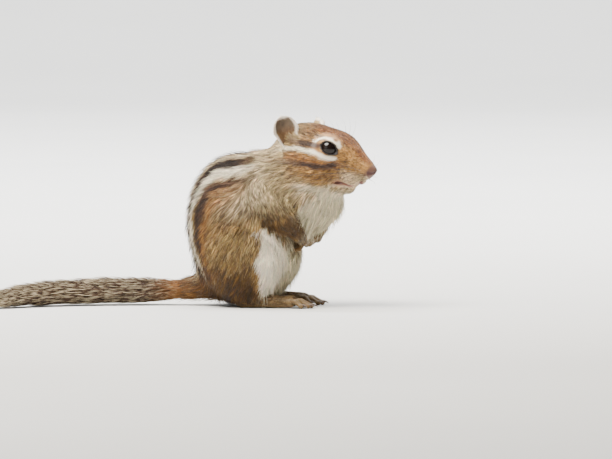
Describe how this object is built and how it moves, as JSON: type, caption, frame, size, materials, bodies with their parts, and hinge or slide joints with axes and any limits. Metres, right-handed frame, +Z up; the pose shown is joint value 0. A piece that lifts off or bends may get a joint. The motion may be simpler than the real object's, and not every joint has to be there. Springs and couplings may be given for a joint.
{
  "type": "chipmunk",
  "caption": "Life-size still model of a chipmunk sitting up on its haunches, forepaws held together at the chest and bushy tail laid out behind it.",
  "frame": {"origin": "middle of the floor under the whole animal, at the centre of its bounding box", "axes": "+X the way the body faces, +Y the animal's left, +Z up"},
  "size_m": [0.1684, 0.0716, 0.0834],
  "materials": {
    "body_fur": "short, soft fur, ochre grizzled with black, striped dark and cream along the back, white below",
    "tail_fur": "long, bushy hair, dark at the middle and white at the tips",
    "ear_skin": "thin skin with very short velvet hair",
    "foot_skin": "bare pinkish brown skin under very short hair, with dark horn claws",
    "eyeball": "wet, glossy, very dark brown"
  },
  "bodies": {
    "root": {"torso": "body_fur", "neck": "body_fur", "head": "body_fur", "eye_right": "eyeball", "eye_left": "eyeball", "ear_right": "ear_skin", "ear_left": "ear_skin", "upper_arm_right": "body_fur", "upper_arm_left": "body_fur", "forearm_right": "body_fur", "forearm_left": "body_fur", "forepaw_right": "foot_skin", "forepaw_left": "foot_skin", "haunch_right": "body_fur", "haunch_left": "body_fur", "hind_foot_right": "foot_skin", "hind_foot_left": "foot_skin", "tail_root": "body_fur", "tail_brush": "tail_fur"}
  },
  "joints": []
}
